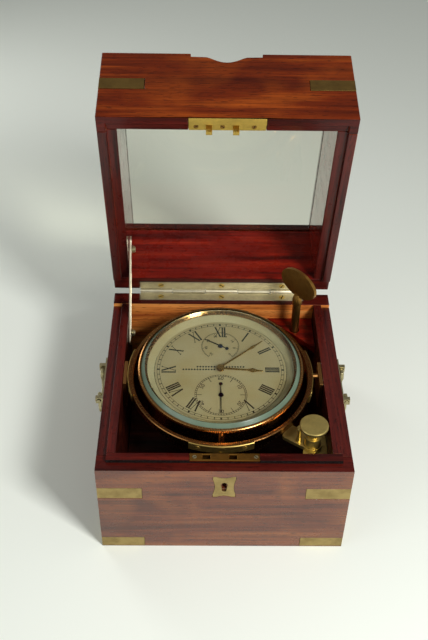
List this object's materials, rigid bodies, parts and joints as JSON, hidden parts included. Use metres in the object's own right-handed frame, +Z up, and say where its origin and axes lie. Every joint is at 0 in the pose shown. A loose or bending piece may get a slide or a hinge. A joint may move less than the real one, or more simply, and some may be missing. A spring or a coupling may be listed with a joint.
{
  "type": "marine chronometer",
  "caption": "Gimballed marine chronometer: a brass bowl with a silvered dial in a mahogany box with a glazed, hinged lid held open by a slotted stay.",
  "frame": {"origin": "centre of the underside of the box's base", "axes": "+Z up; +Y to the box's back, where the lid's hinge is; +X to the right, where the winding key stands"},
  "size_m": [0.1976, 0.2619, 0.2984],
  "materials": {
    "mahogany": "french-polished",
    "brass": "polished and lacquered",
    "pale_brass": "worn satin",
    "silvered": "silvered brass, matt grained",
    "gilt": "gilt",
    "blued_steel": "heat-blued",
    "steel": "satin",
    "glass": "clear"
  },
  "bodies": {
    "case": {"base_bottom": "mahogany", "base_front": "mahogany", "base_back": "mahogany", "base_left": "mahogany", "base_right": "mahogany", "strap_base_lower_left": "brass", "strap_base_lower_right": "brass", "strap_base_upper_left": "brass", "strap_base_upper_right": "brass", "box_lock": "brass", "escutcheon": "brass", "hinge_leaf_base": "pale_brass", "hinge_pin": "brass", "handle_plate_left": "brass", "handle_plate_right": "brass", "gimbal_bracket_left": "brass", "gimbal_bracket_right": "brass", "lock_bracket": "brass", "key_shelf": "mahogany", "stay_screw_base": "brass"},
    "lid": {"lid_front": "mahogany", "lid_back": "mahogany", "lid_left": "mahogany", "lid_right": "mahogany", "lid_glass": "glass", "glass_bead": "mahogany", "strap_lid_left": "brass", "strap_lid_right": "brass", "link_plate": "brass", "hinge_leaf_lid": "pale_brass", "stay_screw_lid": "brass"},
    "stay": {"lid_stay": "pale_brass"},
    "lock_bolt": {"lock_bolt": "steel"},
    "handle_left": {"handle_left": "brass"},
    "handle_right": {"handle_right": "brass"},
    "lock_arm": {"lock_arm": "brass"},
    "lock_knob": {"lock_knob": "brass"},
    "winding_key": {"winding_key": "brass"},
    "gimbal_ring": {"gimbal_ring": "brass"},
    "bowl": {"bowl": "brass", "bezel": "brass", "crystal": "glass", "sight_ring": "silvered", "dial": "silvered", "pillar_plate": "brass", "top_plate": "brass", "balance_cock": "brass"},
    "dust_shutter": {"dust_shutter": "brass"},
    "seconds": {"fourth_wheel": "brass", "seconds_hand": "blued_steel"},
    "third_wheel": {"third_wheel": "brass"},
    "minutes": {"centre_wheel": "brass", "minute_hand": "gilt"},
    "hours": {"hour_hand": "gilt"},
    "escape_wheel": {"escape_wheel": "brass"},
    "fusee": {"fusee": "brass"},
    "barrel": {"barrel": "brass"},
    "updown_hand": {"updown_hand": "blued_steel"},
    "balance": {"balance": "brass"}
  },
  "joints": [
    {"name": "lid_hinge", "type": "hinge", "parent": "case", "child": "lid", "pos_m": [0, 0.0995, 0.0925], "axis": [1, 0, 0], "range_deg": [0, 78]},
    {"name": "stay_pivot", "type": "hinge", "parent": "lid", "child": "stay", "pos_m": [-0.078, 0.10175, 0.13544], "axis": [1, 0, 0], "range_deg": [-39, 0]},
    {"name": "lock_bolt_slide", "type": "slide", "parent": "case", "child": "lock_bolt", "axis": [1, 0, 0], "range_m": [0, 0.003]},
    {"name": "handle_left_swing", "type": "hinge", "parent": "case", "child": "handle_left", "pos_m": [-0.0962, 0, 0.08], "axis": [0, 1, 0], "range_deg": [0, 95]},
    {"name": "handle_right_swing", "type": "hinge", "parent": "case", "child": "handle_right", "pos_m": [0.0962, 0, 0.08], "axis": [0, -1, 0], "range_deg": [0, 95]},
    {"name": "lock_arm_swing", "type": "hinge", "parent": "case", "child": "lock_arm", "pos_m": [0.0665, -0.0565, 0.0745], "axis": [0, 0, -1], "range_deg": [-50, 0]},
    {"name": "lock_knob_turn", "type": "hinge", "parent": "case", "child": "lock_knob", "pos_m": [0.0665, -0.0565, 0.09], "axis": [0, 0, 1], "range_deg": [-180, 180]},
    {"name": "winding_key_lift", "type": "slide", "parent": "case", "child": "winding_key", "axis": [0, 0, -1], "range_m": [-0.055, 0]},
    {"name": "gimbal_ring_tilt", "type": "hinge", "parent": "case", "child": "gimbal_ring", "pos_m": [-0.002, 0, 0.089], "axis": [1, 0, 0], "range_deg": [-29, 6]},
    {"name": "bowl_tilt", "type": "hinge", "parent": "gimbal_ring", "child": "bowl", "pos_m": [-0.002, 0, 0.089], "axis": [0, 0.9976, 0.0698], "range_deg": [-180, 20]},
    {"name": "dust_shutter_swing", "type": "hinge", "parent": "bowl", "child": "dust_shutter", "pos_m": [-0.013, 0.00916, 0.04403], "axis": [0, 0.0698, -0.9976], "range_deg": [-70, 0]},
    {"name": "seconds_spin", "type": "hinge", "parent": "bowl", "child": "seconds", "pos_m": [-0.002, -0.02544, 0.08722], "axis": [0, 0.0698, -0.9976], "continuous": true},
    {"name": "third_wheel_spin", "type": "hinge", "parent": "bowl", "child": "third_wheel", "pos_m": [-0.009, -0.01337, 0.08807], "axis": [0, 0.0698, -0.9976], "continuous": true},
    {"name": "minutes_spin", "type": "hinge", "parent": "bowl", "child": "minutes", "pos_m": [-0.002, 0, 0.089], "axis": [0, 0.0698, -0.9976], "continuous": true},
    {"name": "hours_spin", "type": "hinge", "parent": "bowl", "child": "hours", "pos_m": [-0.002, 0, 0.089], "axis": [0, 0.0698, -0.9976], "continuous": true},
    {"name": "escape_wheel_spin", "type": "hinge", "parent": "bowl", "child": "escape_wheel", "pos_m": [0.008, -0.03172, 0.08678], "axis": [0, 0.0698, -0.9976], "continuous": true},
    {"name": "fusee_wind", "type": "hinge", "parent": "bowl", "child": "fusee", "pos_m": [-0.026, 0.01596, 0.09012], "axis": [0, -0.0698, 0.9976], "range_deg": [-720, 1980]},
    {"name": "barrel_wind", "type": "hinge", "parent": "bowl", "child": "barrel", "pos_m": [0.021, 0.01995, 0.0904], "axis": [0, -0.0698, 0.9976], "range_deg": [-720, 1980]},
    {"name": "updown_turn", "type": "hinge", "parent": "bowl", "child": "updown_hand", "pos_m": [-0.002, 0.02494, 0.09074], "axis": [0, -0.0698, 0.9976], "range_deg": [-80, 220]},
    {"name": "balance_swing", "type": "hinge", "parent": "bowl", "child": "balance", "pos_m": [0.013, -0.01397, 0.08802], "axis": [0, -0.0698, 0.9976], "range_deg": [-270, 270], "stiffness_Nm_per_rad": 0.00013}
  ],
  "couplings": [
    {"joint": "stay_pivot", "follows": "lid_hinge", "ratio": -0.5},
    {"joint": "third_wheel_spin", "follows": "seconds_spin", "ratio": -0.16102},
    {"joint": "minutes_spin", "follows": "seconds_spin", "ratio": 0.016667},
    {"joint": "hours_spin", "follows": "seconds_spin", "ratio": 0.0013889},
    {"joint": "escape_wheel_spin", "follows": "seconds_spin", "ratio": -6},
    {"joint": "barrel_wind", "follows": "fusee_wind", "ratio": 1},
    {"joint": "updown_turn", "follows": "fusee_wind", "ratio": 0.11111}
  ]
}
